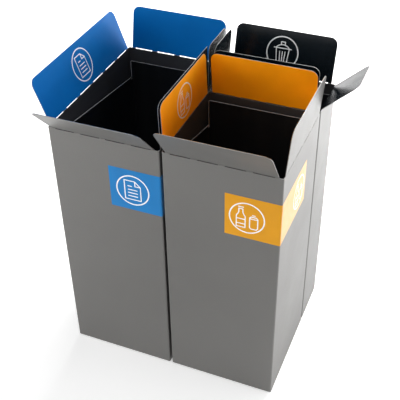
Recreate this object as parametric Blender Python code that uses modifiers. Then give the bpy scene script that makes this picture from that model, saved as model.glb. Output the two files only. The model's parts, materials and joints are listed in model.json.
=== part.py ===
"""Recycling bin station: three open-topped bins of folded sheet steel, bolted together as one block.

Each bin has a base pan on rubber feet, a lift-out liner, a label round one vertical edge, and flaps that
bend on fold lines of slots: one flap on each side, and two on the side of the deep bin that meets both of its
neighbours. The origin is on the floor, under the middle of the whole station.
"""

import math
from collections import namedtuple

import bmesh
import bpy
from mathutils import Matrix, Vector

# Plan: each bin fills a whole number of square modules, less the gap between neighbours.
MODULE = 0.150
GAP = 0.006

# Shell
SHEET = 0.0015
BEND = 0.004
BEND_STEPS = 5
WALL_HEIGHT = 0.725
FOOT_HEIGHT = 0.005
FOLD_HEIGHT = FOOT_HEIGHT + WALL_HEIGHT
CLEARANCE = 0.0003
SMOOTH_ANGLE = math.radians(35)

# Flaps and the slots that make their fold lines
FLAP_LENGTH = 0.117
FLAP_INSET = 0.011
FLAP_CORNER = 0.019
FLAP_CORNER_STEPS = 8
KNUCKLE = SHEET / 2
KNUCKLE_ROUNDING = 0.98 * KNUCKLE
KNUCKLE_STEPS = 4
SLOT_MARGIN = 0.021
SLOT_BRIDGE = 0.016
SLOTS_PER_MODULE = 2
SLOT_ABOVE_FOLD = 0.0010
SLOT_BELOW_FOLD = 0.00205
CUTTER_DEPTH = 0.006

# Base pan and feet
PAN_FLANGE = 0.020
FOOT_INSET = 0.030
FOOT_RADIUS = 0.012
FOOT_TAPER = 0.0015
ROUND_STEPS = 24

# Liner: its side panels slope down from front to back.
LINER_INSET = 0.007
LINER_WALL = 0.002
LINER_BEND = 0.005
LINER_FRONT_DROP = 0.032
LINER_REAR_DROP = 0.088
LINER_END_MARGIN = 0.0015
RELIEF_WIDTH = 0.004
RELIEF_DEPTH = 0.006

# Label
LABEL_FRONT = 0.138
LABEL_SIDE = 0.195
LABEL_HEIGHT = 0.120
LABEL_DROP = 0.074
LABEL_THICKNESS = 0.0004
LABEL_END_MARGIN = 0.012

# Joining hardware
BOLT_HEIGHTS = (0.120, 0.480)
BOLT_RADIUS = 0.0025
HEAD_RADIUS = 0.00475
HEAD_HEIGHT = 0.0027
HEAD_EDGE = 0.0008
HEAD_CROWN = 0.0016
HEAD_FLAT_RADIUS = 0.0026
HEAD_SHOULDER_RADIUS = 0.0042
NUT_RADIUS = 0.0046
NUT_HEIGHT = 0.0040
BOLT_END = 0.0003
SPACER_RADIUS = 0.008
BOLT_STEPS = 16
HOLE_CUTTER_LENGTH = 0.036

MERGE_DISTANCE = 1e-5

# A side's turn about Z, counted from the front.
SIDES = {"front": 0, "right": 90, "back": 180, "left": 270}

# A flap runs along its side from one module line to another, counted from the left as seen from outside.
# Its tilt is from upright, outwards, in degrees. One that runs on past its own stretch of wall has a square
# corner there.
Flap = namedtuple("Flap", "name side start end tilt runs_on", defaults=(0.0,))

# A liner stands further from a flap that leans inwards over it.
Bin = namedtuple("Bin", "name cell span flaps colour liner_insets liner_back_drop label_turn")

BINS = (
    Bin(
        name="paper",
        cell=(0, 0),
        span=(2, 3),
        flaps=(
            Flap("front", "front", 0, 2, 42.3),
            Flap("right", "right", 0, 2, -1.2, runs_on=0.015),
            Flap("right_rear", "right", 2, 3, 0.5),
            Flap("back", "back", 0, 2, 12.0),
            Flap("left", "left", 0, 3, 19.7),
        ),
        colour=(0.006, 0.120, 0.420),
        liner_insets={"right": 0.010},
        liner_back_drop=0.039,
        label_turn=0,
    ),
    Bin(
        name="packaging",
        cell=(2, 0),
        span=(2, 2),
        flaps=(
            Flap("front", "front", 0, 2, 35.0),
            Flap("right", "right", 0, 2, 4.9),
            Flap("back", "back", 0, 2, -5.4),
            Flap("left", "left", 0, 2, 2.0),
        ),
        colour=(0.720, 0.250, 0.010),
        liner_insets={"back": 0.014},
        liner_back_drop=0.017,
        label_turn=0,
    ),
    Bin(
        name="waste",
        cell=(2, 2),
        span=(2, 1),
        flaps=(
            Flap("front", "front", 0, 2, 0.0),
            Flap("right", "right", 0, 1, 46.8),
            Flap("back", "back", 0, 2, 15.8),
            Flap("left", "left", 0, 1, -5.0),
        ),
        colour=(0.004, 0.012, 0.016),
        liner_insets={"left": 0.017},
        liner_back_drop=0.030,
        label_turn=180,
    ),
)

# Pairs of neighbours, and the side on which the second one stands.
NEIGHBOURS = (("paper", "packaging", "right"), ("paper", "waste", "right"), ("packaging", "waste", "back"))

GREY = (0.190, 0.190, 0.185)


def clear_scene():
    for obj in list(bpy.data.objects):
        bpy.data.objects.remove(obj, do_unlink=True)


def new_collection(name):
    collection = bpy.data.collections.new(name)
    bpy.context.scene.collection.children.link(collection)
    return collection


def material(name, colour, roughness, metallic=0.0):
    made = bpy.data.materials.new(name)
    made.use_nodes = True
    shader = made.node_tree.nodes["Principled BSDF"]
    shader.inputs["Base Color"].default_value = (*colour, 1.0)
    shader.inputs["Roughness"].default_value = roughness
    shader.inputs["Metallic"].default_value = metallic
    made.diffuse_color = (*colour, 1.0)
    return made


def size_of(bin_):
    return Vector((bin_.span[0] * MODULE - GAP, bin_.span[1] * MODULE - GAP, 0.0))


def centre_of(bin_):
    return Vector((bin_.cell[0] * MODULE, bin_.cell[1] * MODULE, 0.0)) + size_of(bin_) / 2


def stretch(flap):
    """How long the piece of wall is that a flap belongs to."""
    return (flap.end - flap.start) * MODULE - GAP


def side_distance(bin_, side):
    """How far this side's outer face is from the bin's centre."""
    size = size_of(bin_)
    return (size.y if side in ("front", "back") else size.x) / 2


def flap_ends(flap):
    """Where a flap starts and ends, from the middle of its stretch of wall."""
    half = stretch(flap) / 2
    return FLAP_INSET - half, half + (flap.runs_on or -FLAP_INSET)


def hinge_place(bin_, flap):
    """The middle of this flap's fold line, in the middle of the sheet."""
    turn = Matrix.Rotation(math.radians(SIDES[flap.side]), 3, "Z")
    modules = bin_.span[0] if flap.side in ("front", "back") else bin_.span[1]
    along = (flap.start + flap.end - modules) / 2 * MODULE
    out = Vector((along, -side_distance(bin_, flap.side) + SHEET / 2, 0.0))
    return centre_of(bin_) + turn @ out + Vector((0.0, 0.0, FOLD_HEIGHT))


def reach(side):
    """How far the flaps on this side of the station stand out past its outer face."""
    found = [0.0]
    for bin_ in BINS:
        edge = centre_of(bin_) + size_of(bin_) / 2
        outer = {
            "front": bin_.cell[1] == 0,
            "left": bin_.cell[0] == 0,
            "right": abs(edge.x - block_size().x) < GAP / 2,
            "back": abs(edge.y - block_size().y) < GAP / 2,
        }
        if outer[side]:
            tilts = [math.radians(flap.tilt) for flap in bin_.flaps if flap.side == side]
            found += [FLAP_LENGTH * math.sin(a) + KNUCKLE * math.cos(a) - KNUCKLE for a in tilts]
    return max(found)


def block_size():
    ends = [centre_of(bin_) + size_of(bin_) / 2 for bin_ in BINS]
    return Vector((max(end.x for end in ends), max(end.y for end in ends), 0.0))


def station_centre():
    block = block_size()
    across = (block.x + reach("right") - reach("left")) / 2
    along = (block.y + reach("back") - reach("front")) / 2
    return Vector((across, along, 0.0))


def add_object(name, mesh, collection, parent, place=(0.0, 0.0, 0.0), turn=(0.0, 0.0, 0.0)):
    obj = bpy.data.objects.new(name, mesh)
    obj.location = place
    obj.rotation_euler = turn
    obj.parent = parent
    collection.objects.link(obj)
    return obj


def mesh_of(bm, name, *materials):
    mesh = bpy.data.meshes.new(name)
    bm.to_mesh(mesh)
    bm.free()
    for each in materials:
        mesh.materials.append(each)
    mesh.shade_smooth()
    mesh.set_sharp_from_angle(angle=SMOOTH_ANGLE)
    return mesh


def box(low, high):
    """A box between two corners, as a bmesh."""
    bm = bmesh.new()
    bmesh.ops.create_cube(bm, size=1.0)
    low = Vector(low)
    high = Vector(high)
    bmesh.ops.scale(bm, vec=high - low, verts=bm.verts)
    bmesh.ops.translate(bm, vec=(low + high) / 2, verts=bm.verts)
    bm.normal_update()
    return bm


def remove_faces(bm, *normals):
    gone = [face for face in bm.faces if any(face.normal.dot(Vector(way)) > 0.9 for way in normals)]
    bmesh.ops.delete(bm, geom=gone, context="FACES")


def direction(edge):
    return (edge.verts[1].co - edge.verts[0].co).normalized()


def round_edges(bm, edges, radius, steps):
    bmesh.ops.bevel(bm, geom=list(edges), offset=radius, segments=steps, profile=0.5, affect="EDGES")


def upright_edges(bm):
    return [edge for edge in bm.edges if abs(direction(edge).z) > 0.9 and len(edge.link_faces) == 2]


def thicken(obj, thickness, offset):
    solidify = obj.modifiers.new("Sheet", "SOLIDIFY")
    solidify.thickness = thickness
    solidify.offset = offset
    solidify.use_even_offset = True


def cut(obj, cutter):
    cutter.hide_render = True
    cutter.display_type = "WIRE"
    boolean = obj.modifiers.new("Cut", "BOOLEAN")
    boolean.operation = "DIFFERENCE"
    boolean.solver = "EXACT"
    boolean.object = cutter


def slot_cutter_mesh(flap):
    """The slots of one fold line, along X and about the fold's axis, as boxes wider than the sheet."""
    length = stretch(flap)
    count = (flap.end - flap.start) * SLOTS_PER_MODULE
    slot = (length - 2 * SLOT_MARGIN - (count - 1) * SLOT_BRIDGE) / count
    bm = bmesh.new()
    for number in range(count):
        start = -length / 2 + SLOT_MARGIN + number * (slot + SLOT_BRIDGE)
        middle = Vector((start + slot / 2, 0.0, (SLOT_ABOVE_FOLD - SLOT_BELOW_FOLD) / 2))
        size = Vector((slot, CUTTER_DEPTH, SLOT_ABOVE_FOLD + SLOT_BELOW_FOLD))
        placing = Matrix.Translation(middle) @ Matrix.Diagonal((*size, 1.0))
        bmesh.ops.create_cube(bm, size=1.0, matrix=placing)
    return mesh_of(bm, "slots")


def cylinder(radius, depth, steps, middle=0.0):
    """A cylinder about Z, as a bmesh."""
    bm = bmesh.new()
    bmesh.ops.create_cone(
        bm,
        cap_ends=True,
        segments=steps,
        radius1=radius,
        radius2=radius,
        depth=depth,
        matrix=Matrix.Translation((0, 0, middle)),
    )
    return bm


def hole_cutter_mesh():
    return mesh_of(cylinder(BOLT_RADIUS + CLEARANCE, HOLE_CUTTER_LENGTH, BOLT_STEPS), "hole")


def add_shell(bin_, paint, parts, cutters, station):
    """Four walls in one folded sheet. The bridges between the slots stop short of the flaps' knuckles."""
    half = size_of(bin_) / 2
    top = FOLD_HEIGHT - KNUCKLE - CLEARANCE
    bm = box((-half.x, -half.y, FOOT_HEIGHT), (half.x, half.y, top))
    remove_faces(bm, (0, 0, 1), (0, 0, -1))
    round_edges(bm, upright_edges(bm), BEND, BEND_STEPS)
    name = bin_.name + "_shell"
    shell = add_object(name, mesh_of(bm, name, paint), parts, station, centre_of(bin_))
    thicken(shell, SHEET, -1)
    for flap in bin_.flaps:
        turn = (0.0, 0.0, math.radians(SIDES[flap.side]))
        slots = slot_cutter_mesh(flap)
        slots_name = f"{name}_slots_{flap.name}"
        cut(shell, add_object(slots_name, slots, cutters, station, hinge_place(bin_, flap), turn))
    return shell


def add_flap(bin_, flap, paint, lacquer, parts, cutters, station):
    """One flap, with its origin on the fold's axis. Its lower edge is a half-round knuckle on each bridge."""
    start, end = flap_ends(flap)
    bm = box((start, -SHEET / 2, -KNUCKLE), (end, SHEET / 2, FLAP_LENGTH))
    for face in bm.faces:
        face.material_index = 1 if face.normal.y > 0.9 else 0
    low = [e for e in bm.edges if abs(direction(e).x) > 0.9 and e.verts[0].co.z < 0]
    round_edges(bm, low, KNUCKLE_ROUNDING, KNUCKLE_STEPS)
    across = [e for e in bm.edges if abs(direction(e).y) > 0.9 and e.verts[0].co.z > FLAP_LENGTH / 2]
    corners = [e for e in across if e.verts[0].co.x < 0 or not flap.runs_on]
    round_edges(bm, corners, FLAP_CORNER, FLAP_CORNER_STEPS)
    name = f"{bin_.name}_flap_{flap.name}"
    turn = (math.radians(flap.tilt), 0.0, math.radians(SIDES[flap.side]))
    place = hinge_place(bin_, flap)
    sheet = add_object(name, mesh_of(bm, name, paint, lacquer), parts, station, place, turn)
    cut(sheet, add_object(name + "_slots", slot_cutter_mesh(flap), cutters, sheet))


def open_tray(low, high, bend):
    """A box with no lid, its upright edges rounded."""
    bm = box(low, high)
    remove_faces(bm, (0, 0, 1))
    round_edges(bm, upright_edges(bm), bend, BEND_STEPS)
    return bm


def add_pan(bin_, paint, parts, station):
    inset = SHEET + CLEARANCE
    half = size_of(bin_) / 2 - Vector((inset, inset, 0))
    top = FOOT_HEIGHT + PAN_FLANGE
    bm = open_tray((-half.x, -half.y, FOOT_HEIGHT), (half.x, half.y, top), BEND - SHEET)
    name = bin_.name + "_base_pan"
    pan = add_object(name, mesh_of(bm, name, paint), parts, station, centre_of(bin_))
    thicken(pan, SHEET, -1)


def add_liner(bin_, finish, parts, cutters, station):
    """An inner box with no lid. Its front and back panels stand higher than the rear ends of its sides."""
    half = size_of(bin_) / 2
    insets = {side: bin_.liner_insets.get(side, LINER_INSET) for side in SIDES}
    back = half.y - insets["back"]
    bottom = FOOT_HEIGHT + SHEET + CLEARANCE
    top = FOLD_HEIGHT - min(bin_.liner_back_drop, LINER_FRONT_DROP)
    name = bin_.name + "_liner"
    low = (insets["left"] - half.x, insets["front"] - half.y, bottom)
    high = (half.x - insets["right"], back, top)
    bm = open_tray(low, high, LINER_BEND)
    liner = add_object(name, mesh_of(bm, name, finish), parts, station, centre_of(bin_))
    thicken(liner, LINER_WALL, -1)

    above = FOLD_HEIGHT
    back_panel = back - LINER_BEND - LINER_END_MARGIN
    bm = box((-half.x, -half.y, FOLD_HEIGHT - LINER_FRONT_DROP), (half.x, back_panel, above))
    for vert in bm.verts:
        if vert.co.y > 0 and vert.co.z < above:
            vert.co.z = FOLD_HEIGHT - LINER_REAR_DROP
    cut(liner, add_object(name + "_slope", mesh_of(bm, name), cutters, station, centre_of(bin_)))

    relief_low = FOLD_HEIGHT - LINER_REAR_DROP - RELIEF_DEPTH
    bm = box((-half.x, back_panel - RELIEF_WIDTH, relief_low), (half.x, back_panel + CLEARANCE, above))
    cut(liner, add_object(name + "_relief", mesh_of(bm, name), cutters, station, centre_of(bin_)))

    back_edge = FOLD_HEIGHT - bin_.liner_back_drop
    bm = box((-half.x, back_panel - RELIEF_WIDTH, back_edge), (half.x, half.y, above))
    cut(liner, add_object(name + "_back_edge", mesh_of(bm, name), cutters, station, centre_of(bin_)))


def add_label(bin_, vinyl, parts, station):
    """A thin band round one upright edge: the front right one, unless the bin is turned round."""
    half = size_of(bin_) / 2
    top = FOLD_HEIGHT - LABEL_DROP
    side = min(LABEL_SIDE, 2 * half.y - LABEL_END_MARGIN)
    low = (half.x - LABEL_FRONT, -half.y - CLEARANCE, top - LABEL_HEIGHT)
    high = (half.x + CLEARANCE, -half.y + side, top)
    bm = box(low, high)
    remove_faces(bm, (0, 0, 1), (0, 0, -1), (-1, 0, 0), (0, 1, 0))
    round_edges(bm, upright_edges(bm), BEND + CLEARANCE, BEND_STEPS)
    name = bin_.name + "_label"
    turn = (0.0, 0.0, math.radians(bin_.label_turn))
    label = add_object(name, mesh_of(bm, name, vinyl), parts, station, centre_of(bin_), turn)
    thicken(label, LABEL_THICKNESS, 1)


def add_feet(bin_, rubber, parts, station):
    half = size_of(bin_) / 2 - Vector((FOOT_INSET, FOOT_INSET, 0))
    depth = FOOT_HEIGHT - CLEARANCE
    number = 0
    for along in (-1, 1):
        for across in (-1, 1):
            number += 1
            bm = bmesh.new()
            bmesh.ops.create_cone(
                bm,
                cap_ends=True,
                segments=ROUND_STEPS,
                radius1=FOOT_RADIUS - FOOT_TAPER,
                radius2=FOOT_RADIUS,
                depth=depth,
                matrix=Matrix.Translation((0, 0, depth / 2)),
            )
            name = f"{bin_.name}_foot_{number}"
            place = centre_of(bin_) + Vector((across * half.x, along * half.y, 0))
            add_object(name, mesh_of(bm, name, rubber), parts, station, place)


def add_turned(name, profile, closed, finish, parts, station, place, turn):
    """A profile in the XZ plane turned about Z. Its outer side runs from top to bottom."""
    count = len(profile)
    edges = [(i, i + 1) for i in range(count - 1)]
    if closed:
        edges.append((count - 1, 0))
    mesh = bpy.data.meshes.new(name)
    mesh.from_pydata([(x, 0.0, z) for x, z in profile], edges, [])
    mesh.materials.append(finish)
    obj = add_object(name, mesh, parts, station, place, turn)
    screw = obj.modifiers.new("Turn", "SCREW")
    screw.steps = BOLT_STEPS
    screw.render_steps = BOLT_STEPS
    screw.use_merge_vertices = True
    screw.merge_threshold = MERGE_DISTANCE


def bolt_profile():
    """Head above, shank below. Z = 0 is the outer face of the first bin's wall."""
    seat = SHEET + CLEARANCE
    head_top = seat + HEAD_HEIGHT
    end = -GAP - SHEET - CLEARANCE - NUT_HEIGHT - BOLT_END
    return (
        (0.0, head_top),
        (HEAD_FLAT_RADIUS, head_top),
        (HEAD_SHOULDER_RADIUS, seat + HEAD_CROWN),
        (HEAD_RADIUS, seat + HEAD_EDGE),
        (HEAD_RADIUS, seat),
        (BOLT_RADIUS, seat),
        (BOLT_RADIUS, end + BOLT_END),
        (BOLT_RADIUS - BOLT_END, end),
        (0.0, end),
    )


def spacer_profile():
    inner = BOLT_RADIUS + CLEARANCE
    return (
        (SPACER_RADIUS, -CLEARANCE),
        (SPACER_RADIUS, -GAP + CLEARANCE),
        (inner, -GAP + CLEARANCE),
        (inner, -CLEARANCE),
    )


def add_joining(shells, zinc, nylon, parts, cutters, station):
    """Bolts through neighbouring walls, each with a spacer in the gap and a nut in the second bin."""
    bins = {bin_.name: bin_ for bin_ in BINS}
    number = 0
    for first, second, side in NEIGHBOURS:
        out = Matrix.Rotation(math.radians(SIDES[side]), 3, "Z") @ Vector((0, -1, 0))
        middle = centre_of(bins[first]) + out * side_distance(bins[first], side)
        smaller = centre_of(bins[second])
        if side == "right":
            middle.y = smaller.y
        else:
            middle.x = smaller.x
        # The bolt's local Z runs back into the first bin.
        turn = (-out).to_track_quat("Z", "Y").to_euler()
        for height in BOLT_HEIGHTS:
            number += 1
            place = Vector((middle.x, middle.y, height))
            add_turned(f"bolt_{number}", bolt_profile(), False, zinc, parts, station, place, turn)
            add_turned(f"spacer_{number}", spacer_profile(), True, nylon, parts, station, place, turn)
            add_nut(f"nut_{number}", zinc, parts, cutters, station, place, turn)
            hole = add_object(f"bolt_hole_{number}", hole_cutter_mesh(), cutters, station, place, turn)
            cut(shells[first], hole)
            cut(shells[second], hole)


def add_nut(name, zinc, parts, cutters, station, place, turn):
    middle = -GAP - SHEET - CLEARANCE - NUT_HEIGHT / 2
    hexagon = cylinder(NUT_RADIUS, NUT_HEIGHT, 6, middle)
    nut = add_object(name, mesh_of(hexagon, name, zinc), parts, station, place, turn)
    cut(nut, add_object(name + "_bore", hole_cutter_mesh(), cutters, nut))


def build():
    clear_scene()
    parts = new_collection("recycling_bin_station")
    cutters = new_collection("cutters")
    station = bpy.data.objects.new("station", None)
    station.location = -station_centre()
    parts.objects.link(station)

    paint = material("grey_metallic_paint", GREY, 0.42, 0.35)
    liner = material("black_polypropylene", (0.012, 0.012, 0.013), 0.5)
    rubber = material("black_rubber", (0.02, 0.02, 0.02), 0.8)
    zinc = material("zinc_plate", (0.6, 0.6, 0.6), 0.35, 1.0)
    nylon = material("black_nylon", (0.03, 0.03, 0.03), 0.6)

    shells = {}
    for bin_ in BINS:
        lacquer = material(bin_.name + "_lacquer", bin_.colour, 0.3)
        vinyl = material(bin_.name + "_vinyl", bin_.colour, 0.45)
        shells[bin_.name] = add_shell(bin_, paint, parts, cutters, station)
        for flap in bin_.flaps:
            add_flap(bin_, flap, paint, lacquer, parts, cutters, station)
        add_pan(bin_, paint, parts, station)
        add_liner(bin_, liner, parts, cutters, station)
        add_label(bin_, vinyl, parts, station)
        add_feet(bin_, rubber, parts, station)
    add_joining(shells, zinc, nylon, parts, cutters, station)


build()
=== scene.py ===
"""The looks of the recycling bin station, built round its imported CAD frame.

Every visible piece is rebuilt here as folded sheet with softened edges, in the place and at the size of
its CAD node, and rides on the same body. Lengths are in metres, in the frame's own coordinates.
"""

import json
import math

import bmesh
import bpy
from mathutils import Matrix, Vector
from mathutils.geometry import delaunay_2d_cdt


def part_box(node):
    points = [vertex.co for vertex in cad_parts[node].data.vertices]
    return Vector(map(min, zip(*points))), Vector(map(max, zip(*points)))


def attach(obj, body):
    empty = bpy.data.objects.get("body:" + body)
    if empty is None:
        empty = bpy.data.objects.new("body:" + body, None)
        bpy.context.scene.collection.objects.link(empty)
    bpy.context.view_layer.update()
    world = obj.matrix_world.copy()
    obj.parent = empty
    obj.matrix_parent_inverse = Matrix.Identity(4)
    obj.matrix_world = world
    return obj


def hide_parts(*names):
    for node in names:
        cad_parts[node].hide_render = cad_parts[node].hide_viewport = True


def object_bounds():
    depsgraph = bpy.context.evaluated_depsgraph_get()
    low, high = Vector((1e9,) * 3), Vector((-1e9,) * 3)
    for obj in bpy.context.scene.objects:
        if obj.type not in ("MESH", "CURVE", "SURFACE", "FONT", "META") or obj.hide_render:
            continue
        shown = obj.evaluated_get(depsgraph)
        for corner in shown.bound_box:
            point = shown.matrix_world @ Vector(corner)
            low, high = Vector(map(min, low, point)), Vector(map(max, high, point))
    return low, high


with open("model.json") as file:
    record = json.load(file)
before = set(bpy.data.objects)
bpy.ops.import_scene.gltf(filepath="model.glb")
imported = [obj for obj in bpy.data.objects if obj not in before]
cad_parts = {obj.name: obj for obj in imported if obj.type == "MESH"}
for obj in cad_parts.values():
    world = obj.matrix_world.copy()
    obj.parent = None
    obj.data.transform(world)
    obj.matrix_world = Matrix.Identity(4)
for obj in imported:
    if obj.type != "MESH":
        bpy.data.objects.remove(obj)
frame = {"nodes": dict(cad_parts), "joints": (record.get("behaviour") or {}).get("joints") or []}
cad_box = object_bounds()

# Sheet metal and its folds
SHEET = 0.0015
BEND = 0.004
BEND_STEPS = 10
MODULE = 0.150
GAP = 0.006
SLOTS_PER_MODULE = 2
SLOT_MARGIN = 0.021
SLOT_BRIDGE = 0.016
SLOT_ABOVE_FOLD = 0.0010
SLOT_BELOW_FOLD = 0.00205
KNUCKLE = SHEET / 2
KNUCKLE_ROUNDING = 0.98 * KNUCKLE
KNUCKLE_STEPS = 3
KNUCKLE_GAP = 0.00006
FLAP_CORNER = 0.019
FLAP_CORNER_STEPS = 16
EDGE_SOFTENING = 0.00022
EDGE_STEPS = 2
SHARP_ANGLE = math.radians(35)
SMOOTH_ANGLE = math.radians(60)
# The order of a sheet's finishes
OUTER, INNER, EDGE = range(3)
# A face whose normal leans this much towards an axis counts as facing it
LEANING = 0.3
FACING = 0.98
SMALL_FACE = 1e-5
# Slack when heights in a mesh, places along a panel, and the CAD's corners are compared
TINY = 1e-7
PANEL_SLACK = 1e-6
CORNER_SLACK = 1e-5

# Liners, pans and labels
LINER_WALL = 0.002
LINER_BEND = 0.005
LINER_FRONT_DROP = 0.032
LINER_REAR_DROP = 0.088
LINER_END_MARGIN = 0.0015
LINER_EDGE = 0.0006
LINER_FLOOR_ROUNDING = 0.0012
FLOOR_ROUNDING_STEPS = 3
RELIEF_WIDTH = 0.004
RELIEF_DEPTH = 0.006
PAN_BEND = BEND - SHEET
PAN_BEND_STEPS = 6
PAN_FLOOR_ROUNDING = 0.0008
FILM = 0.00012
FILM_GAP = 0.00002
LABEL_CORNER_OFFSET = 0.0007

# Pictograms, in metres, and as shares of the ring's radius
RING_ON_FLAP = 0.0420
RING_ON_LABEL = 0.0428
RING_ABOVE_FOLD = 0.057
RING_ASIDE = 0.005
RING_FROM_LABEL_END = {"paper": 0.062, "packaging": 0.055, "waste": 0.058}
RING_STROKE = 0.076
ICON_STROKE = 0.062
ICON_SIZE = 1.16
RING_POINTS = 72
JOINT_POINTS = 24
JOIN_WITHIN = 1e-5
FLAT_ANGLE = math.radians(0.5)
INK = 0.00006

# Feet: the sides go in by (inset, share of the height), and the hollow's radii are shares of the foot's
LATHE_STEPS = 48
FOOT_EDGE = 0.0004
FOOT_SIDE = ((0.0004, 0.6), (0.0011, 0.35))
FOOT_TAPER = 0.0012
FOOT_RIM = 0.0012
FOOT_RIM_ANGLES = (0.4, 0.8, 1.2, 1.57)
FOOT_HOLLOW = 0.0006
FOOT_HOLLOW_RADII = (0.45, 0.42)

# Joining hardware: the button head's crown as (radius, height from its top)
BUTTON_CROWN = ((0.0, 0.0), (0.0026, 0.0), (0.0033, -0.00035), (0.0039, -0.0008), (0.0044, -0.0014))
BUTTON_RIM = -0.0020
BUTTON_SEAT = -0.0027
BUTTON_EDGE = 0.0001
SHANK_RADIUS = 0.0025
SHANK_CHAMFER = 0.0003
SOCKET_RADIUS = 0.00165
SOCKET_DEPTH = 0.0014
NUT_BORE = 0.0026
NUT_CHAMFER = 0.0006
NUT_FACE = 0.97
SPACER_BORE = 0.0028
SPACER_EDGE = 0.0004
# How far a cutting or bounding shape reaches past what it shapes
PAST_RADIUS = 0.0001
PAST_ENDS = 0.001

# Studio: softboxes as place, target, size and watts
SOFTBOXES = (
    ("front_left_softbox", (-2.4, -2.4, 1.5), (0.0, 0.0, 0.5), (1.8, 1.8), 54.0),
    ("front_softbox", (-0.9, -1.6, 2.7), (0.0, 0.0, 0.6), (2.4, 2.0), 17.0),
    ("top_softbox", (0.2, -0.5, 2.8), (0.0, 0.0, 0.6), (1.2, 1.2), 16.0),
    ("back_softbox", (0.2, 2.8, 2.6), (0.2, 0.8, 0.0), (2.2, 1.8), 74.0),
    ("right_back_softbox", (0.9, 3.1, 0.7), (0.2, 0.2, 0.5), (1.4, 1.2), 70.0),
    ("right_softbox", (2.6, 0.9, 0.7), (0.0, 0.1, 0.3), (2.2, 1.4), 40.0),
    ("back_floor_softbox", (0.6, 2.6, 1.5), (0.6, 1.0, 0.0), (1.4, 1.0), 64.0),
    ("far_floor_softbox", (-1.5, 4.5, 2.0), (-1.5, 5.0, 0.0), (4.0, 2.0), 120.0),
)

# The floor and the sky glow towards the horizon. Each row says where the change starts and ends, as
# metres from the object or as the sine of the height over the horizon, and how strong the glow is there.
FLOOR_RADIUS = 30.0
FLOOR_SIDES = 96
FLOOR_DROP = 0.0002
FLOOR_GLOW = (1.4, 5.0, 0.38, 1.0)
SKY_GLOW = (0.03, 0.30, 0.90, 0.02)

# Camera: its place from the block's front left lower corner; azimuth, elevation and roll in degrees
CAMERA_PLACE = (0.96232, -1.35466, 1.76187)
CAMERA_TURN = (22.748, 37.937, -0.946)
CAMERA_LENS = 71.606
CAMERA_SENSOR = 36.0
CAMERA_REACH = 100.0

SIDES = {"front": 0, "right": 90, "back": 180, "left": 270}
INK_SIDE = {"paper": "left", "packaging": "left", "waste": "back"}
# A side with more than one flap: each flap's name, and the module lines that it runs between
SPLIT_SIDES = {("paper", "right"): (("right", 0, 2), ("right_rear", 2, 3))}
COLOURS = {"paper": "blue", "packaging": "orange", "waste": "black"}
# The sides next to another bin: their flaps' outer faces get black lacquer as painted shade for the
# narrow gap
GAP_SHADE_SIDES = {"paper": ("right",), "packaging": ("left", "back"), "waste": ("left", "front")}

nodes = frame["nodes"]
joints = {joint["name"]: joint for joint in frame["joints"]}
FOLD_HEIGHT = joints["paper_flap_front_fold"]["pos_m"][2]


# --------------------------------------------------------------------------------------------------
# Materials


class Nodes:
    """A material's node tree, with short names for what is added to it."""

    def __init__(self, name):
        self.material = bpy.data.materials.new(name)
        self.material.use_nodes = True
        self.tree = self.material.node_tree
        self.shader = self.tree.nodes["Principled BSDF"]
        self.place = self.add("ShaderNodeTexCoord").outputs["Object"]

    def add(self, kind, **settings):
        node = self.tree.nodes.new(kind)
        for key, value in settings.items():
            setattr(node, key, value)
        return node

    def link(self, output, target):
        self.tree.links.new(output, target)

    def set(self, **values):
        for key, value in values.items():
            self.shader.inputs[key.replace("_", " ")].default_value = value

    def noise(self, scale, detail=2.0, roughness=0.5, stretch=None):
        node = self.add("ShaderNodeTexNoise")
        node.inputs["Scale"].default_value = scale
        node.inputs["Detail"].default_value = detail
        node.inputs["Roughness"].default_value = roughness
        place = self.place
        if stretch:
            mapping = self.add("ShaderNodeMapping")
            mapping.inputs["Scale"].default_value = stretch
            self.link(place, mapping.inputs["Vector"])
            place = mapping.outputs["Vector"]
        self.link(place, node.inputs["Vector"])
        return node.outputs["Fac"]

    def flakes(self, scale):
        """A random grey for each small cell, as metal flakes in paint have."""
        node = self.add("ShaderNodeTexVoronoi")
        node.inputs["Scale"].default_value = scale
        self.link(self.place, node.inputs["Vector"])
        return node.outputs["Color"]

    def between(self, value, low, high, start=0.3, end=0.7):
        """A number from low to high as value goes from start to end, the usual reach of a noise."""
        node = self.add("ShaderNodeMapRange")
        node.inputs["From Min"].default_value = start
        node.inputs["From Max"].default_value = end
        node.inputs["To Min"].default_value = low
        node.inputs["To Max"].default_value = high
        self.link(value, node.inputs["Value"])
        return node.outputs["Result"]

    def mix(self, share, first, second, way="MIX"):
        node = self.add("ShaderNodeMix", data_type="RGBA", blend_type=way)
        for name, value in (("Factor", share), ("A", first), ("B", second)):
            self.feed(value, node.inputs[name])
        return node.outputs["Result"]

    def blend(self, noise, first, second):
        """A colour that changes from first to second with a noise."""
        return self.mix(self.between(noise, 0.0, 1.0), first, second)

    def feed(self, value, socket):
        if hasattr(value, "links"):
            self.link(value, socket)
        elif isinstance(value, tuple):
            socket.default_value = (*value, 1.0)
        else:
            socket.default_value = value

    def colour(self, value):
        self.feed(value, self.shader.inputs["Base Color"])

    def roughness(self, value):
        self.feed(value, self.shader.inputs["Roughness"])

    def bump(self, *layers):
        """Layers of (height, distance in metres), each added to the one before."""
        normal = None
        for height, distance in layers:
            node = self.add("ShaderNodeBump")
            node.inputs["Strength"].default_value = 1.0
            node.inputs["Distance"].default_value = distance
            self.link(height, node.inputs["Height"])
            if normal:
                self.link(normal, node.inputs["Normal"])
            normal = node.outputs["Normal"]
        self.link(normal, self.shader.inputs["Normal"])


def shades(colour, darker, lighter):
    """A darker and a lighter shade, as multiples of a colour."""
    return tuple(c * darker for c in colour), tuple(c * lighter for c in colour)


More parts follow.
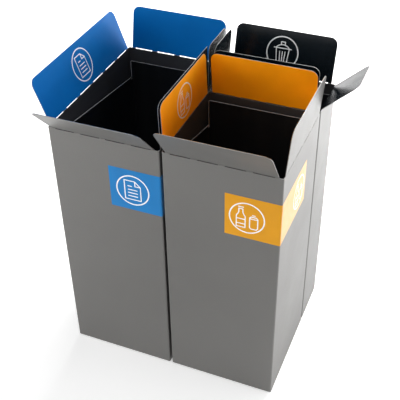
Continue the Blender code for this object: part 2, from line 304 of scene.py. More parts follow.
def grey_paint(name, colour, metallic, dull, satin):
    """Metallic powder coat: fine flakes, orange peel, and a slow change of tone over a whole wall."""
    made = Nodes(name)
    dark, light = shades(colour, 0.93, 1.06)
    tone = made.blend(made.noise(2.6, 3.0), dark, light)
    made.colour(made.mix(0.11, tone, made.flakes(2600.0), "OVERLAY"))
    made.roughness(made.between(made.noise(5.5, 4.0), satin, dull))
    made.set(Metallic=metallic)
    made.bump((made.noise(520.0, 2.0), 0.000035), (made.noise(2400.0, 1.0), 0.000012))
    return made.material


def lacquer(name, colour, satin, dull, specular):
    """Solid-colour satin paint with faint smears and orange peel."""
    made = Nodes(name)
    dark, light = shades(colour, 0.88, 1.08)
    made.colour(made.blend(made.noise(7.0, 4.0), dark, light))
    smears = made.noise(22.0, 5.0, 0.62, stretch=(1.0, 1.0, 0.35))
    made.roughness(made.between(smears, satin, dull))
    made.set(Specular_IOR_Level=specular)
    made.bump((made.noise(430.0, 2.0), 0.00003), (made.noise(1900.0, 1.0), 0.000008))
    return made.material


def sheet_edge():
    """The thin edge of the sheet, painted lighter grey than the walls as a painted highlight, lighter
    still in random patches.
    """
    made = Nodes("sheet_edge")
    lighter_patches = made.between(made.noise(160.0, 4.0, 0.65), 0.0, 1.0, 0.52, 0.72)
    made.colour(made.mix(lighter_patches, (0.24, 0.24, 0.235), (0.42, 0.42, 0.41)))
    made.roughness(made.between(made.noise(60.0, 3.0), 0.32, 0.48))
    made.set(Metallic=0.45)
    made.bump((made.noise(900.0, 2.0), 0.00002))
    return made.material


def liner_plastic():
    """Folded black polypropylene: a fine grain, and long faint rubs from lifting it in and out."""
    made = Nodes("liner_plastic")
    grain = made.noise(1500.0, 2.0)
    rubs = made.noise(26.0, 6.0, 0.6, stretch=(1.0, 1.0, 0.06))
    rubbed = made.between(rubs, 0.0, 1.0, 0.45, 0.8)
    made.colour(made.mix(rubbed, (0.0060, 0.0066, 0.0082), (0.0120, 0.0130, 0.0155)))
    made.roughness(made.between(rubs, 0.36, 0.52))
    made.set(Specular_IOR_Level=0.36)
    made.bump((grain, 0.00004), (rubs, 0.00012))
    return made.material


def liner_rim_highlight():
    """The cut edges of the liner's panels, painted grey as a painted highlight along the rim."""
    made = Nodes("liner_rim_highlight")
    made.colour(made.blend(made.noise(90.0, 4.0), (0.22, 0.22, 0.23), (0.34, 0.34, 0.35)))
    made.roughness(made.between(made.noise(200.0, 3.0), 0.40, 0.55))
    return made.material


def film(name, colour, sheen):
    """Printed film with a satin laminate. It follows the paint's orange peel a little."""
    made = Nodes(name)
    dark, light = shades(colour, 0.95, 1.04)
    made.colour(made.blend(made.noise(18.0, 3.0), dark, light))
    made.roughness(made.between(made.noise(45.0, 4.0), 0.34, 0.46))
    made.set(Specular_IOR_Level=0.25, Sheen_Weight=sheen, Sheen_Roughness=0.3)
    made.bump((made.noise(520.0, 2.0), 0.00002), (made.noise(14.0, 2.0), 0.0003))
    return made.material


def ink():
    """White screen print."""
    made = Nodes("white_ink")
    made.colour(made.blend(made.noise(240.0, 3.0), (0.80, 0.81, 0.82), (0.90, 0.90, 0.90)))
    made.roughness(made.between(made.noise(90.0, 2.0), 0.42, 0.55))
    return made.material


def rubber():
    """Matte black rubber with a fine grain."""
    made = Nodes("foot_rubber")
    made.colour(made.blend(made.noise(120.0, 4.0), (0.012, 0.012, 0.012), (0.030, 0.029, 0.028)))
    made.roughness(made.between(made.noise(300.0, 3.0), 0.7, 0.9))
    made.bump((made.noise(1800.0, 3.0), 0.00006))
    return made.material


def zinc():
    """Bright zinc plate on steel."""
    made = Nodes("zinc_plate")
    made.colour(made.blend(made.noise(700.0, 4.0), (0.50, 0.51, 0.52), (0.68, 0.68, 0.66)))
    made.roughness(made.between(made.noise(1200.0, 3.0), 0.24, 0.4))
    made.set(Metallic=1.0)
    made.bump((made.noise(3000.0, 2.0), 0.00001))
    return made.material


def nylon():
    """Moulded black nylon."""
    made = Nodes("spacer_nylon")
    made.colour(made.blend(made.noise(200.0, 3.0), (0.022, 0.022, 0.023), (0.036, 0.036, 0.037)))
    made.roughness(made.between(made.noise(900.0, 2.0), 0.5, 0.65))
    made.bump((made.noise(1600.0, 2.0), 0.00003))
    return made.material


FINISHES = {
    "outside": grey_paint("grey_metallic_paint", (0.147, 0.144, 0.138), 0.45, 0.46, 0.37),
    "inside": grey_paint("anthracite_primer", (0.038, 0.038, 0.041), 0.1, 0.62, 0.50),
    "edge": sheet_edge(),
    "liner": liner_plastic(),
    "liner_rim_highlight": liner_rim_highlight(),
    "ink": ink(),
    "rubber": rubber(),
    "zinc": zinc(),
    "nylon": nylon(),
    "blue_lacquer": lacquer("blue_lacquer", (0.0004, 0.136, 0.440), 0.42, 0.54, 0.05),
    "orange_lacquer": lacquer("orange_lacquer", (0.955, 0.368, 0.004), 0.36, 0.48, 0.20),
    "black_lacquer": lacquer("black_lacquer", (0.0015, 0.005, 0.008), 0.17, 0.27, 0.60),
    "blue_vinyl": film("blue_film", (0.001, 0.172, 0.460), 0.5),
    "orange_vinyl": film("orange_film", (0.665, 0.292, 0.001), 0.5),
    "black_vinyl": film("black_film", (0.006, 0.012, 0.014), 0.1),
}


# --------------------------------------------------------------------------------------------------
# Mesh tools


def above(z):
    """Picks the edges that lie wholly above a height."""
    return lambda edge: min(v.co.z for v in edge.verts) > z


def below(z):
    """Picks the edges that lie wholly below a height."""
    return lambda edge: max(v.co.z for v in edge.verts) < z


def soften(bm, radius, steps, chosen=None):
    """Rounds the sharp edges of a mesh, or those of them that chosen(edge) picks."""
    edges = [e for e in bm.edges if len(e.link_faces) == 2 and e.calc_face_angle() > SHARP_ANGLE]
    if chosen:
        edges = [edge for edge in edges if chosen(edge)]
    bmesh.ops.bevel(
        bm, geom=edges, offset=radius, segments=steps, profile=0.5, affect="EDGES", clamp_overlap=True
    )


def piece(name, bm, finishes, body, slot, *replaced):
    """Makes an object of a mesh that is already in place, and ties it to the frame."""
    bmesh.ops.recalc_face_normals(bm, faces=bm.faces)
    mesh = bpy.data.meshes.new(name)
    bm.to_mesh(mesh)
    bm.free()
    for finish in finishes:
        mesh.materials.append(FINISHES[finish])
    mesh.shade_smooth()
    mesh.set_sharp_from_angle(angle=SMOOTH_ANGLE)
    obj = bpy.data.objects.new(name, mesh)
    bpy.context.scene.collection.objects.link(obj)
    weighted = obj.modifiers.new("Flat faces stay flat", "WEIGHTED_NORMAL")
    weighted.keep_sharp = True
    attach(obj, body)
    if replaced:
        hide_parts(*replaced)


def arc(centre, radius, start, end, steps):
    """Points of an arc, with its angles in degrees."""
    x, y = centre
    turns = [math.radians(start + (end - start) * step / steps) for step in range(steps + 1)]
    return [(x + radius * math.cos(a), y + radius * math.sin(a)) for a in turns]


def turn_about_z(degrees):
    return Matrix.Rotation(math.radians(degrees), 3, "Z")


def bend_points(end, across, radius, steps=BEND_STEPS):
    """Points of a quarter turn from facing -Y to facing +X. It starts at (end - radius, -across)."""
    for step in range(steps + 1):
        angle = math.pi / 2 * (step / steps)
        x = end - radius + radius * math.sin(angle)
        y = -across + radius - radius * math.cos(angle)
        yield Vector((x, y, 0))


def rounded_loop(low, high, radius, sheet, breaks, steps=BEND_STEPS):
    """Stations round a rectangle with rounded corners, as (outer, inner) points.

    They start at the front's left end. breaks gives more places along each side, from its middle."""
    centre = (low + high) / 2
    size = high - low
    stations = []
    for side, degrees in SIDES.items():
        length, across = (size.x, size.y) if side in ("front", "back") else (size.y, size.x)
        turn = turn_about_z(degrees)
        places = list(breaks[side])
        if side == "front":
            places.insert(0, -length / 2 + radius)
        straight = [(Vector((x, -across / 2, 0)), Vector((x, -across / 2 + sheet, 0))) for x in places]
        outer = bend_points(length / 2, across / 2, radius, steps)
        inner = bend_points(length / 2 - sheet, across / 2 - sheet, radius - sheet, steps)
        for pair in [*straight, *zip(outer, inner)]:
            stations.append(tuple(centre + turn @ point for point in pair))
    # The last bend ends where the front starts.
    return stations[:-1]


def walls(stations, tops, bottom, floor=None, closed=True):
    """Upright walls through the stations. Each stretch between two of them has its own (left, right) top.

    floor is the height of a closed floor's upper face. Without it the walls are open below."""
    bm = bmesh.new()
    count = len(stations)
    stretches = count if closed else count - 1
    made = {}

    def base(inner):
        return floor if inner and floor is not None else bottom

    def vert(number, inner, z):
        key = (number % count, inner, round(z, 7))
        if key not in made:
            x, y, _ = stations[number % count][inner]
            made[key] = bm.verts.new((x, y, z))
        return made[key]

    def ends_at(number):
        """The tops of the stretches before and after a station."""
        before = tops[(number - 1) % count][1] if closed or number > 0 else bottom
        after = tops[number % count][0] if closed or number < stretches else bottom
        return before, after

    def steps_on(number, low, high):
        """The heights between low and high where a station has a corner."""
        return sorted(z for z in set(ends_at(number % count)) if low + TINY < z < high - TINY)

    for number in range(stretches):
        left, right = tops[number]
        for inner in (False, True):
            low = base(inner)
            loop = [vert(number, inner, low), vert(number + 1, inner, low)]
            loop += [vert(number + 1, inner, z) for z in steps_on(number + 1, low, right)]
            loop += [vert(number + 1, inner, right), vert(number, inner, left)]
            loop += [vert(number, inner, z) for z in reversed(steps_on(number, low, left))]
            bm.faces.new(loop)
        corners = [(number, False, left), (number + 1, False, right)]
        corners += [(number + 1, True, right), (number, True, left)]
        bm.faces.new([vert(*corner) for corner in corners])
        if floor is None:
            corners = [(number, False), (number, True), (number + 1, True), (number + 1, False)]
            bm.faces.new([vert(*corner, bottom) for corner in corners])
    for number in range(count):
        low, high = sorted(ends_at(number))
        if high - low > TINY:
            corners = [(False, low), (False, high), (True, high), (True, low)]
            bm.faces.new([vert(number, *corner) for corner in corners])
    if floor is not None:
        for inner in (False, True):
            bm.faces.new([vert(number, inner, base(inner)) for number in range(count)])
    bmesh.ops.recalc_face_normals(bm, faces=bm.faces)
    return bm


def prism(points, low, high):
    """An outline in the XY plane, pushed up from low to high."""
    bm = bmesh.new()
    lower, upper = ([bm.verts.new((x, y, z)) for x, y in points] for z in (low, high))
    bm.faces.new(lower)
    bm.faces.new(upper)
    count = len(points)
    for number in range(count):
        after = (number + 1) % count
        bm.faces.new((lower[number], lower[after], upper[after], upper[number]))
    bmesh.ops.recalc_face_normals(bm, faces=bm.faces)
    return bm


def lathe(profile, closed=False):
    """A profile of (radius, height) turned about Z. An open one starts and ends on the axis."""
    bm = bmesh.new()
    rings = []
    for radius, z in profile:
        if radius == 0.0:
            rings.append([bm.verts.new((0, 0, z))])
            continue
        angles = [math.tau * step / LATHE_STEPS for step in range(LATHE_STEPS)]
        rings.append([bm.verts.new((radius * math.cos(a), radius * math.sin(a), z)) for a in angles])
    pairs = list(zip(rings, rings[1:]))
    if closed:
        pairs.append((rings[-1], rings[0]))
    for first, second in pairs:
        for step in range(LATHE_STEPS):
            after = (step + 1) % LATHE_STEPS
            loop = [first[step % len(first)], first[after % len(first)]]
            loop += [second[after % len(second)], second[step % len(second)]]
            bm.faces.new(list(dict.fromkeys(loop)))
    bmesh.ops.recalc_face_normals(bm, faces=bm.faces)
    return bm


def combine(bm, other, operation):
    """The difference or the intersection of two closed meshes."""
    objects = []
    for source in (bm, other):
        mesh = bpy.data.meshes.new("boolean")
        source.to_mesh(mesh)
        source.free()
        obj = bpy.data.objects.new("boolean", mesh)
        bpy.context.scene.collection.objects.link(obj)
        objects.append(obj)
    boolean = objects[0].modifiers.new("Boolean", "BOOLEAN")
    boolean.operation = operation
    boolean.solver = "EXACT"
    boolean.object = objects[1]
    result = bmesh.new()
    result.from_object(objects[0], bpy.context.evaluated_depsgraph_get())
    for obj in objects:
        bpy.data.meshes.remove(obj.data)
    return result


# --------------------------------------------------------------------------------------------------
# Sheet metal


def slots_of(length):
    """Where the slots of a fold line start and end, from the middle of a stretch of this length."""
    count = round((length + GAP) / MODULE) * SLOTS_PER_MODULE
    slot = (length - 2 * SLOT_MARGIN - (count - 1) * SLOT_BRIDGE) / count
    starts = [-length / 2 + SLOT_MARGIN + number * (slot + SLOT_BRIDGE) for number in range(count)]
    return [(start, start + slot) for start in starts]


def flaps_of(bin_name, side):
    """Each flap of a side, as its name, its stretch's middle from the wall's middle, and its length."""
    low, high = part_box(bin_name + "_shell")
    length = high.x - low.x if side in ("front", "back") else high.y - low.y
    modules = round((length + GAP) / MODULE)
    for name, start, end in SPLIT_SIDES.get((bin_name, side), ((side, 0, modules),)):
        yield name, (start + end - modules) / 2 * MODULE, (end - start) * MODULE - GAP


def add_shell(bin_name):
    """Four walls, grey outside and dark inside, with half of each slot in their upper edge.

    The edges under the front's slots take the dark inside paint as painted shade, for a flap's shade."""
    low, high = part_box(bin_name + "_shell")
    bottom = low.z
    top = FOLD_HEIGHT - KNUCKLE - KNUCKLE_GAP
    breaks = {}
    for side in SIDES:
        stretches = [(middle, slots_of(length)) for _, middle, length in flaps_of(bin_name, side)]
        breaks[side] = [middle + x for middle, slots in stretches for slot in slots for x in slot]
    stations = rounded_loop(low, high, BEND, SHEET, breaks)
    tops = []
    for side in SIDES:
        slots = len(breaks[side]) // 2
        tops += [(top, top)]
        for _ in range(slots):
            tops += [(FOLD_HEIGHT - SLOT_BELOW_FOLD,) * 2, (top, top)]
        tops += [(top, top)] * BEND_STEPS
    bm = walls(stations, tops, bottom)
    soften(bm, EDGE_SOFTENING, EDGE_STEPS)
    middle = (low + high) / 2
    for face in bm.faces:
        centre = face.calc_center_median()
        level = abs(face.normal.z) > LEANING
        in_slot = -2 * SLOT_BELOW_FOLD < centre.z - FOLD_HEIGHT < -1.5 * KNUCKLE
        # Painted shade: the level edges under the front's slots take the dark inside paint.
        if level and in_slot and centre.y < low.y + BEND:
            face.material_index = INNER
        elif level or face.calc_area() < SMALL_FACE:
            face.material_index = EDGE
        else:
            face.material_index = INNER if (middle - centre).dot(face.normal) > 0 else OUTER
    finishes = ("outside", "inside", "edge")
    piece(bin_name + "_shell_sheet", bm, finishes, "station", "grey_paint", bin_name + "_shell")


def flap_place(name):
    """A flap's own axes at rest: X along its fold, Y towards its inner face, Z up the flap."""
    joint = joints[name + "_fold"]
    along = Vector(joint["axis"])
    fold = Vector(joint["pos_m"])
    points = {tuple(round(c, 6) for c in v.co - fold) for v in nodes[name].data.vertices}
    points = [Vector(p) - along * along.dot(Vector(p)) for p in points]
    furthest = max(p.length for p in points)
    up = sum((p for p in points if p.length > furthest - CORNER_SLACK), Vector()).normalized()
    axes = Matrix((along, up.cross(along), up)).transposed()
    return Matrix.Translation(fold) @ axes.to_4x4()


def flap_outline(low, high, height, slots, square):
    """The outline in the flap's XZ plane, with bridges below and round corners above.

    A square outline has no round corner at its high end."""
    points = [(low, -KNUCKLE)]
    for start, end in slots:
        points += [(start, -KNUCKLE), (start, SLOT_ABOVE_FOLD), (end, SLOT_ABOVE_FOLD), (end, -KNUCKLE)]
    points.append((high, -KNUCKLE))
    if square:
        points.append((high, height))
    else:
        points += arc((high - FLAP_CORNER, height - FLAP_CORNER), FLAP_CORNER, 0, 90, FLAP_CORNER_STEPS)
    points += arc((low + FLAP_CORNER, height - FLAP_CORNER), FLAP_CORNER, 90, 180, FLAP_CORNER_STEPS)
    return points


def add_flap(bin_name, side, flap, stretch):
    """A flap with its half of the slots, and round knuckles between them where it turns."""
    name = f"{bin_name}_flap_{flap}"
    place = flap_place(name)
    local = [place.inverted() @ v.co for v in nodes[name].data.vertices]
    low_end, high_end = min(p.x for p in local), max(p.x for p in local)
    height = max(p.z for p in local)
    # The prism stands on the XY plane, so it is turned to put its height across the sheet.
    upright = Matrix(((1, 0, 0, 0), (0, 0, 1, 0), (0, 1, 0, 0), (0, 0, 0, 1)))
    square = high_end > stretch / 2
    outline = flap_outline(low_end, high_end, height, slots_of(stretch), square)
    bm = prism(outline, -SHEET / 2, SHEET / 2)
    bmesh.ops.transform(bm, matrix=upright, verts=bm.verts)
    bmesh.ops.recalc_face_normals(bm, faces=bm.faces)
    under_fold = [edge for edge in bm.edges if below(0.0)(edge)]
    knuckles = [e for e in under_fold if abs(e.verts[0].co.y - e.verts[1].co.y) < TINY]
    bmesh.ops.bevel(
        bm, geom=knuckles, offset=KNUCKLE_ROUNDING, segments=KNUCKLE_STEPS, profile=0.5, affect="EDGES"
    )
    soften(bm, EDGE_SOFTENING, EDGE_STEPS, above(SLOT_ABOVE_FOLD / 2))
    bm.normal_update()
    for face in bm.faces:
        if face.calc_center_median().z < 0 or -FACING <= face.normal.y <= LEANING:
            face.material_index = EDGE
        else:
            face.material_index = INNER if face.normal.y > 0 else OUTER
    bmesh.ops.transform(bm, matrix=place, verts=bm.verts)
    paint = COLOURS[bin_name] + "_lacquer"
    # Painted shade: the outer faces of flaps in the narrow gaps between bins get black lacquer.
    back = "black_lacquer" if side in GAP_SHADE_SIDES[bin_name] else "outside"
    piece(name + "_sheet", bm, (back, paint, "edge"), name, paint, name)


def add_pan(bin_name):
    """A floor with upturned flanges."""
    name = bin_name + "_base_pan"
    low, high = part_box(name)
    stations = rounded_loop(low, high, PAN_BEND, SHEET, {side: [] for side in SIDES}, PAN_BEND_STEPS)
    bm = walls(stations, [(high.z, high.z)] * len(stations), low.z, floor=low.z + SHEET)
    soften(bm, PAN_FLOOR_ROUNDING, FLOOR_ROUNDING_STEPS, below(low.z + SHEET / 2))
    soften(bm, EDGE_SOFTENING, EDGE_STEPS, above(high.z - SHEET / 2))
    piece(name + "_sheet", bm, ("outside",), "station", "grey_paint", name)


def add_liner(bin_name):
    """A folded box. Its side panels slope down to the back, and have a notch beside the back panel."""
    name = bin_name + "_liner"
    low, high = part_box(name)
    shell_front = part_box(bin_name + "_shell")[0].y
    back_panel = high.y - LINER_BEND - LINER_END_MARGIN
    middle = (low.y + high.y) / 2
    notch = (back_panel - RELIEF_WIDTH - middle, back_panel - middle)
    breaks = {"front": [], "right": list(notch), "back": [], "left": [-y for y in reversed(notch)]}
    stations = rounded_loop(low, high, LINER_BEND, LINER_WALL, breaks)
    corners = [v.co for v in nodes[name].data.vertices]
    back_top = max(corner.z for corner in corners if corner.y > back_panel + LINER_END_MARGIN / 2)
    front_top = FOLD_HEIGHT - LINER_FRONT_DROP
    rear_top = FOLD_HEIGHT - LINER_REAR_DROP

    def top_at(y):
        share = (y - shell_front) / (back_panel - shell_front)
        return front_top + (rear_top - front_top) * share

    def tops_between(first, second):
        nearest = min(first.y, second.y) + PANEL_SLACK
        if nearest > back_panel:
            return back_top, back_top
        if nearest > back_panel - RELIEF_WIDTH:
            return (rear_top - RELIEF_DEPTH,) * 2
        return top_at(first.y), top_at(second.y)

    around = stations[1:] + stations[:1]
    tops = [tops_between(here[0], there[0]) for here, there in zip(stations, around)]
    bm = walls(stations, tops, low.z, floor=low.z + LINER_WALL)
    soften(bm, LINER_FLOOR_ROUNDING, FLOOR_ROUNDING_STEPS, below(low.z + LINER_WALL / 2))
    soften(bm, LINER_EDGE, EDGE_STEPS, above(low.z + 2 * LINER_WALL))
    # Only the cut edges lie wholly near the top, as each panel runs down to the floor.
    # The cut edges take the grey rim finish, a painted highlight.
    for face in bm.faces:
        face.material_index = int(min(v.co.z for v in face.verts) > rear_top - 2 * RELIEF_DEPTH)
    piece(name + "_box", bm, ("liner", "liner_rim_highlight"), name, "liner_plastic", name)


# --------------------------------------------------------------------------------------------------
# Labels and pictograms


# Each icon is a list of (points, closed) strokes in a circle of radius 1.
ICONS = {
    # A sheet of paper with a folded corner and lines of writing
    "paper": [
        ([(-0.43, -0.56), (0.43, -0.56), (0.43, 0.27), (0.14, 0.56), (-0.43, 0.56)], True),
        ([(0.14, 0.56), (0.14, 0.27), (0.43, 0.27)], False),
        ([(-0.24, 0.24), (-0.05, 0.24)], False),
        ([(-0.24, 0.03), (0.24, 0.03)], False),
        ([(-0.24, -0.16), (0.24, -0.16)], False),
        ([(-0.24, -0.35), (0.24, -0.35)], False),
    ],
    # A bottle and a can
    "packaging": [
        (
            [(-0.52, -0.58), (-0.08, -0.58), (-0.08, 0.04)]
            + arc((-0.20, 0.04), 0.12, 0, 55, 4)[1:]
            + [(-0.20, 0.30), (-0.20, 0.50), (-0.40, 0.50), (-0.40, 0.30)]
            + arc((-0.40, 0.04), 0.12, 125, 180, 4),
            True,
        ),
        ([(-0.42, 0.61), (-0.18, 0.61)], False),
        ([(-0.52, -0.10), (-0.08, -0.10)], False),
        ([(-0.52, -0.38), (-0.08, -0.38)], False),
        (
            [(0.14, -0.50), (0.21, -0.58), (0.47, -0.58), (0.54, -0.50)]
            + [(0.54, 0.06), (0.47, 0.14), (0.21, 0.14), (0.14, 0.06)],
            True,
        ),
        ([(0.14, 0.02), (0.54, 0.02)], False),
        ([(0.28, 0.24), (0.40, 0.24)], False),
    ],
    # A dustbin with a lid
    "waste": [
        ([(-0.36, 0.24), (-0.28, -0.60), (0.28, -0.60), (0.36, 0.24)], False),
        ([(-0.47, 0.24), (0.47, 0.24)], False),
        (arc((0.0, -0.04), 0.47, 143, 37, 12), False),
        ([(-0.11, 0.46), (-0.11, 0.58), (0.11, 0.58), (0.11, 0.46)], False),
        ([(-0.15, 0.06), (-0.12, -0.42)], False),
        ([(0.0, 0.06), (0.0, -0.42)], False),
        ([(0.15, 0.06), (0.12, -0.42)], False),
    ],
}


def stroke(points, closed, width):
    """Convex pieces that together make a line of this width, with round joints."""
    points = [Vector(p) for p in points]
    pairs = list(zip(points, points[1:]))
    if closed:
        pairs.append((points[-1], points[0]))
    shapes = []
    for start, end in pairs:
        side = (end - start).normalized().orthogonal() * width / 2
        shapes.append([start + side, start - side, end - side, end + side])
    for point in points:
        shapes.append([point + Vector(p) for p in arc((0, 0), width / 2, 0, 360, JOINT_POINTS)[:-1]])
    return shapes


def ring(radius, width):
    """Short convex pieces that together make a ring."""
    outer, inner = (arc((0, 0), radius + side * width / 2, 0, 360, RING_POINTS) for side in (1, -1))
    corners = [(outer[n], outer[n + 1], inner[n + 1], inner[n]) for n in range(RING_POINTS)]
    return [[Vector(corner) for corner in four] for four in corners]


def pictogram(kind, radius, place):
    """A ring with an icon in it as one thin raised print, on the XY plane of place."""
    shapes = ring(1.0, RING_STROKE)
    for points, closed in ICONS[kind]:
        shapes += stroke([Vector(point) * ICON_SIZE for point in points], closed, ICON_STROKE)
    points, faces = [], []
    for shape in shapes:
        area = sum(a.cross(b) for a, b in zip(shape, shape[1:] + shape[:1]))
        ordered = shape if area > 0 else shape[::-1]
        faces.append(list(range(len(points), len(points) + len(shape))))
        points += ordered
    found, _, triangles, _, _, sources = delaunay_2d_cdt(points, [], faces, 0, JOIN_WITHIN)
    bm = bmesh.new()
    sheet = [bm.verts.new((p.x * radius, p.y * radius, 0.0)) for p in found]
    for triangle, source in zip(triangles, sources):
        if source:
            bm.faces.new([sheet[n] for n in triangle])
    bmesh.ops.delete(bm, geom=[v for v in bm.verts if not v.link_faces], context="VERTS")
    bmesh.ops.dissolve_limit(bm, angle_limit=FLAT_ANGLE, verts=bm.verts, edges=bm.edges)
    raised = bmesh.ops.extrude_face_region(bm, geom=bm.faces[:], use_keep_orig=True)
    lifted = [item for item in raised["geom"] if isinstance(item, bmesh.types.BMVert)]
    bmesh.ops.translate(bm, vec=(0, 0, INK), verts=lifted)
    bmesh.ops.transform(bm, matrix=place, verts=bm.verts)
    return bm


def facing(origin, right, out):
    """A place whose X runs to the reader's right and whose Z comes out of the surface."""
    right, out = Vector(right).normalized(), Vector(out).normalized()
    axes = Matrix((right, out.cross(right), out)).transposed()
    return Matrix.Translation(origin) @ axes.to_4x4()


def add_flap_pictogram(bin_name):
    """The print on the inner face of one of a bin's flaps."""
    side = INK_SIDE[bin_name]
    name = f"{bin_name}_flap_{side}"
    fold = flap_place(name)
    along, inward, up = (fold.to_3x3().col[n] for n in range(3))
    origin = fold.translation + up * RING_ABOVE_FOLD + along * RING_ASIDE
    origin += inward * (SHEET / 2 + FILM_GAP)
    bm = pictogram(bin_name, RING_ON_FLAP, facing(origin, -along, inward))
    piece(name + "_pictogram", bm, ("ink",), name, COLOURS[bin_name] + "_lacquer")


def add_label(bin_name):
    """A film round one upright edge, with a pictogram on each of its two faces."""
    name = bin_name + "_label"
    low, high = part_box(name)
    shell_low, shell_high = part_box(bin_name + "_shell")
    middle = (shell_low + shell_high) / 2
    turned = (low.x + high.x) / 2 < middle.x
    turn = turn_about_z(180 if turned else 0)
    half = (shell_high - shell_low) / 2
    start = half.x - (high.x - low.x - LABEL_CORNER_OFFSET)
    end = -half.y + (high.y - low.y - LABEL_CORNER_OFFSET)

    def stations_at(offset):
        reach = BEND + offset
        yield Vector((start, -half.y - offset, 0))
        yield from bend_points(half.x + offset, half.y + offset, reach)
        yield Vector((half.x + offset, end, 0))

    pairs = zip(stations_at(FILM_GAP + FILM), stations_at(FILM_GAP))
    flat = Vector((middle.x, middle.y, 0))
    stations = [tuple(flat + turn @ point for point in pair) for pair in pairs]
    bm = walls(stations, [(high.z, high.z)] * (len(stations) - 1), low.z, closed=False)
    colour = COLOURS[bin_name]
    piece(name + "_film", bm, (colour + "_vinyl",), "station", colour + "_vinyl", name)

    height = (low.z + high.z) / 2
    surface = FILM_GAP + FILM + FILM_GAP
    inset = RING_FROM_LABEL_END[bin_name]
    faces = (
        ("front", (start + inset, -half.y - surface, 0), (1, 0, 0), (0, -1, 0)),
        ("side", (half.x + surface, end - inset, 0), (0, 1, 0), (1, 0, 0)),
    )
    for word, spot, right, out in faces:
        origin = flat + turn @ Vector(spot) + Vector((0, 0, height))
        place = facing(origin, turn @ Vector(right), turn @ Vector(out))
        bm = pictogram(bin_name, RING_ON_LABEL, place)
        piece(f"{name}_{word}_pictogram", bm, ("ink",), "station", colour + "_vinyl")


# --------------------------------------------------------------------------------------------------
# Feet and joining hardware


def add_foot(name):
    """A rubber foot: a tapering disc with a round lower rim and a shallow hollow under it."""
    low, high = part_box(name)
    centre = (low + high) / 2
    radius = (high.x - low.x) / 2
    height = high.z - low.z
    sole = radius - FOOT_TAPER
    wide, narrow = FOOT_HOLLOW_RADII
    profile = [(0.0, height), (radius - FOOT_EDGE, height), (radius, height - FOOT_EDGE)]
    profile += [(radius - inset, height * share) for inset, share in FOOT_SIDE]
    profile.append((sole, FOOT_RIM))
    for angle in FOOT_RIM_ANGLES:
        reach = sole - FOOT_RIM + FOOT_RIM * math.cos(angle)
        profile.append((reach, FOOT_RIM - FOOT_RIM * math.sin(angle)))
    profile += [(radius * wide, 0.0), (radius * narrow, FOOT_HOLLOW), (0.0, FOOT_HOLLOW)]
    bm = lathe(profile)
    bmesh.ops.translate(bm, vec=(centre.x, centre.y, low.z), verts=bm.verts)
    piece(name + "_rubber", bm, ("rubber",), "station", "rubber", name)


def hardware_place(number):
    """The bolt's own axes, with Z out of its head and the origin on top of it, and its length."""
    low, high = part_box(f"bolt_{number}")
    nut_low, nut_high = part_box(f"nut_{number}")
    centre, nut = (low + high) / 2, (nut_low + nut_high) / 2
    size = high - low
    along = Vector((1, 0, 0)) if size.x > size.y else Vector((0, 1, 0))
    if (nut - centre).dot(along) > 0:
        along = -along
    length = max(size.x, size.y)
    return facing(centre + along * (length / 2), (0, 0, 1), along), length


def local_span(node, place):
    """How far a node reaches along the Z of place, and its radius about that Z."""
    points = [place.inverted() @ v.co for v in nodes[node].data.vertices]
    return min(p.z for p in points), max(p.z for p in points), max(math.hypot(p.x, p.y) for p in points)


def hexagon(radius):
    """The corners of a hexagon with a corner on the X axis."""
    return arc((0, 0), radius, 0, 360, 6)[:-1]


def add_bolt(number, place, length):
    """A button head with a hexagon socket, and a plain shank with a chamfered end."""
    name = f"bolt_{number}"
    _, _, head = local_span(name, place)
    profile = [*BUTTON_CROWN, (head, BUTTON_RIM), (head, BUTTON_SEAT + BUTTON_EDGE)]
    profile += [(head - BUTTON_EDGE, BUTTON_SEAT), (SHANK_RADIUS, BUTTON_SEAT)]
    profile += [(SHANK_RADIUS, -length + SHANK_CHAMFER), (SHANK_RADIUS - SHANK_CHAMFER, -length)]
    profile.append((0.0, -length))
    socket = prism(hexagon(SOCKET_RADIUS), -SOCKET_DEPTH, SOCKET_DEPTH)
    bm = combine(lathe(profile), socket, "DIFFERENCE")
    bmesh.ops.transform(bm, matrix=place, verts=bm.verts)
    piece(name + "_button_head", bm, ("zinc",), "station", "zinc", name)


def add_nut(number, place):
    """A hexagon nut with both ends chamfered."""
    name = f"nut_{number}"
    low, high, radius = local_span(name, place)
    face = radius * math.cos(math.pi / 6) * NUT_FACE
    round_part = radius + PAST_RADIUS
    profile = [(NUT_BORE, high), (face, high), (round_part, high - NUT_CHAMFER)]
    profile += [(round_part, low + NUT_CHAMFER), (face, low), (NUT_BORE, low)]
    six_flats = prism(hexagon(radius), low - PAST_ENDS, high + PAST_ENDS)
    bm = combine(lathe(profile, closed=True), six_flats, "INTERSECT")
    bmesh.ops.transform(bm, matrix=place, verts=bm.verts)
    piece(name + "_hexagon", bm, ("zinc",), "station", "zinc", name)


def add_spacer(number, place):
    """A ring with softened edges."""
    name = f"spacer_{number}"
    low, high, radius = local_span(name, place)
    bore, edge = SPACER_BORE, SPACER_EDGE
    profile = [(bore, high - edge), (bore + edge, high), (radius - edge, high), (radius, high - edge)]
    profile += [(radius, low + edge), (radius - edge, low), (bore + edge, low), (bore, low + edge)]
    bm = lathe(profile, closed=True)
    bmesh.ops.transform(bm, matrix=place, verts=bm.verts)
    piece(name + "_ring", bm, ("nylon",), "station", "nylon", name)


# --------------------------------------------------------------------------------------------------
# Studio


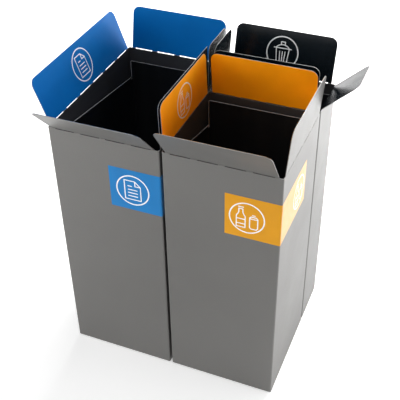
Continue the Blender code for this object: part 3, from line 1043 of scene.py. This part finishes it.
def add_floor():
    """A large pale disc just under the feet."""
    bm = bmesh.new()
    bmesh.ops.create_circle(bm, cap_ends=True, segments=FLOOR_SIDES, radius=FLOOR_RADIUS)
    mesh = bpy.data.meshes.new("studio_floor")
    bm.to_mesh(mesh)
    bm.free()
    pale = Nodes("studio_floor")
    pale.colour((0.88, 0.88, 0.88))
    pale.set(Roughness=0.7, Specular_IOR_Level=0.2, Emission_Color=(1, 1, 1, 1))
    distance = pale.add("ShaderNodeVectorMath", operation="LENGTH")
    pale.link(pale.place, distance.inputs[0])
    start, end, near, far = FLOOR_GLOW
    glow = pale.between(distance.outputs["Value"], near, far, start, end)
    pale.link(glow, pale.shader.inputs["Emission Strength"])
    mesh.materials.append(pale.material)
    floor = bpy.data.objects.new("studio_floor", mesh)
    floor.location.z = cad_box[0].z - FLOOR_DROP
    bpy.context.scene.collection.objects.link(floor)


def add_light(name, place, target, size, power):
    """A rectangular softbox that faces its target."""
    light = bpy.data.lights.new(name, "AREA")
    light.shape = "RECTANGLE"
    light.size, light.size_y = size
    light.energy = power
    obj = bpy.data.objects.new(name, light)
    obj.location = place
    obj.rotation_euler = (Vector(target) - Vector(place)).to_track_quat("-Z", "Y").to_euler()
    bpy.context.scene.collection.objects.link(obj)


def add_world():
    """A white sky that glows near the horizon and is nearly dark overhead."""
    world = bpy.data.worlds.new("studio")
    world.use_nodes = True
    tree = world.node_tree
    sky = tree.nodes["Background"]
    sky.inputs["Color"].default_value = (1.0, 1.0, 1.0, 1.0)
    place = tree.nodes.new("ShaderNodeTexCoord")
    split = tree.nodes.new("ShaderNodeSeparateXYZ")
    fade = tree.nodes.new("ShaderNodeMapRange")
    for name, value in zip(("From Min", "From Max", "To Min", "To Max"), SKY_GLOW):
        fade.inputs[name].default_value = value
    tree.links.new(place.outputs["Generated"], split.inputs["Vector"])
    tree.links.new(split.outputs["Z"], fade.inputs["Value"])
    tree.links.new(fade.outputs["Result"], sky.inputs["Strength"])
    bpy.context.scene.world = world


def add_camera():
    """The camera stands to the right of the front, looking down on the open bins."""
    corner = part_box("paper_shell")[0]
    corner.z = cad_box[0].z
    camera = bpy.data.cameras.new("camera")
    camera.lens = CAMERA_LENS
    camera.sensor_width = CAMERA_SENSOR
    camera.clip_end = CAMERA_REACH
    obj = bpy.data.objects.new("camera", camera)
    obj.location = corner + Vector(CAMERA_PLACE)
    azimuth, elevation, roll = (math.radians(a) for a in CAMERA_TURN)
    turn = Matrix.Rotation(azimuth, 3, "Z") @ Matrix.Rotation(math.pi / 2 - elevation, 3, "X")
    obj.rotation_euler = (turn @ Matrix.Rotation(roll, 3, "Z")).to_euler()
    bpy.context.scene.collection.objects.link(obj)
    bpy.context.scene.camera = obj


def add_studio():
    """Everything round the station that isn't part of it."""
    add_camera()
    add_floor()
    add_world()
    for name, place, target, size, power in SOFTBOXES:
        add_light(name, place, target, size, power)
    bpy.context.scene.view_settings.view_transform = "Standard"


# --------------------------------------------------------------------------------------------------
# Assembly


def build():
    for bin_name in COLOURS:
        add_shell(bin_name)
        for side in SIDES:
            for flap, _, length in flaps_of(bin_name, side):
                add_flap(bin_name, side, flap, length)
        add_flap_pictogram(bin_name)
        add_pan(bin_name)
        add_liner(bin_name)
        add_label(bin_name)
        for number in range(1, 5):
            add_foot(f"{bin_name}_foot_{number}")
    for number in range(1, 7):
        place, length = hardware_place(number)
        add_bolt(number, place, length)
        add_nut(number, place)
        add_spacer(number, place)
    add_studio()


build()
